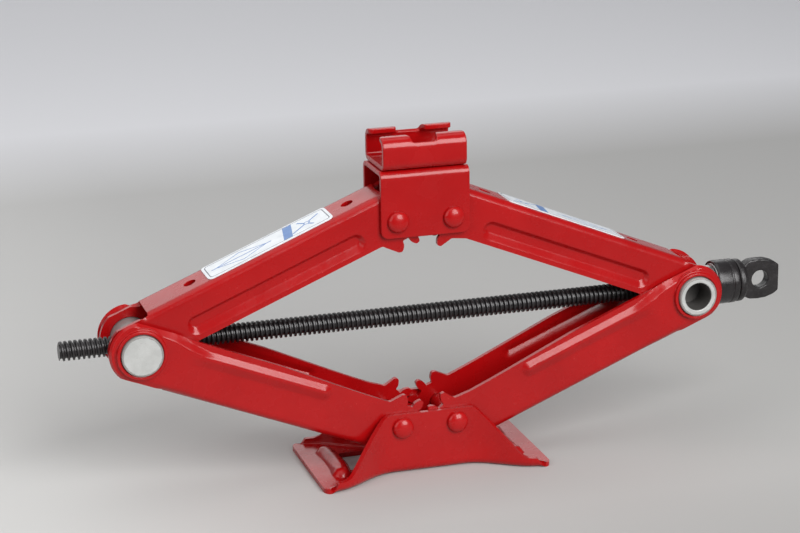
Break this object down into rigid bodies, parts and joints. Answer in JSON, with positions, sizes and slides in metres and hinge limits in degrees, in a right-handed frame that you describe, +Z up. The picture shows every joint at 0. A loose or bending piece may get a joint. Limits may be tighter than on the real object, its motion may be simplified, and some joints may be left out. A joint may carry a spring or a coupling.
{
  "type": "scissor jack",
  "caption": "Screw-driven scissor jack with channel arms, toothed pivots, waisted stamped base, notched C-section saddle and a crank eye on the screw.",
  "frame": {"origin": "on the ground under the middle of the base", "axes": "+X along the screw towards the crank eye, +Y across the jack, +Z up"},
  "size_m": [0.4655, 0.084, 0.2109],
  "materials": {
    "red_paint": "gloss",
    "trunnion_steel": "worn bright",
    "bearing_steel": "ground",
    "black_steel": "black oxide",
    "sticker": "printed film"
  },
  "bodies": {
    "base": {"base_plate": "red_paint", "base_rivet_left": "red_paint", "base_rivet_right": "red_paint"},
    "lower_left": {"lower_left_arm": "red_paint"},
    "lower_right": {"lower_right_arm": "red_paint"},
    "upper_left": {"upper_left_arm": "red_paint", "label_left": "sticker"},
    "upper_right": {"upper_right_arm": "red_paint", "label_right": "sticker"},
    "left_nut": {"left_trunnion_nut": "trunnion_steel"},
    "right_swivel": {"right_trunnion": "trunnion_steel", "thrust_spacer": "bearing_steel", "thrust_race_inner": "bearing_steel"},
    "screw": {"screw_rod": "black_steel", "stop_ring": "black_steel", "thrust_ball_cage": "bearing_steel", "thrust_race_outer": "bearing_steel", "thrust_cover": "black_steel", "crank_eye": "black_steel", "eye_pin": "black_steel"},
    "head": {"top_bracket": "red_paint", "saddle": "red_paint", "saddle_rivet": "red_paint", "top_rivet_left": "red_paint", "top_rivet_right": "red_paint"}
  },
  "joints": [
    {"name": "lift", "type": "hinge", "parent": "base", "child": "lower_left", "pos_m": [-0.01756, 0, 0.0297], "axis": [0, 1, 0], "range_deg": [-16, 38.5]},
    {"name": "lower_right_swing", "type": "hinge", "parent": "base", "child": "lower_right", "pos_m": [0.01756, 0, 0.0297], "axis": [0, 1, 0], "range_deg": [-38.5, 16]},
    {"name": "upper_left_swing", "type": "hinge", "parent": "lower_left", "child": "upper_left", "pos_m": [-0.17681, 0, 0.09469], "axis": [0, 1, 0], "range_deg": [-77, 32]},
    {"name": "upper_right_swing", "type": "hinge", "parent": "lower_right", "child": "upper_right", "pos_m": [0.17681, 0, 0.09469], "axis": [0, 1, 0], "range_deg": [-32, 77]},
    {"name": "left_nut_turn", "type": "hinge", "parent": "lower_left", "child": "left_nut", "pos_m": [-0.17681, 0, 0.09469], "axis": [0, 1, 0], "range_deg": [-38.5, 16]},
    {"name": "right_swivel_turn", "type": "hinge", "parent": "lower_right", "child": "right_swivel", "pos_m": [0.17681, 0, 0.09469], "axis": [0, 1, 0], "range_deg": [-16, 38.5]},
    {"name": "head_level", "type": "hinge", "parent": "upper_left", "child": "head", "pos_m": [-0.01756, 0, 0.15968], "axis": [0, 1, 0], "range_deg": [-16, 38.5]},
    {"name": "screw_spin", "type": "hinge", "parent": "right_swivel", "child": "screw", "pos_m": [0.2, 0, 0.09469], "axis": [1, 0, 0], "continuous": true}
  ],
  "couplings": [
    {"joint": "lower_right_swing", "follows": "lift", "ratio": -1},
    {"joint": "upper_left_swing", "follows": "lift", "ratio": -2},
    {"joint": "upper_right_swing", "follows": "lift", "ratio": 2},
    {"joint": "left_nut_turn", "follows": "lift", "ratio": -1},
    {"joint": "right_swivel_turn", "follows": "lift", "ratio": 1},
    {"joint": "head_level", "follows": "lift", "ratio": 1}
  ]
}
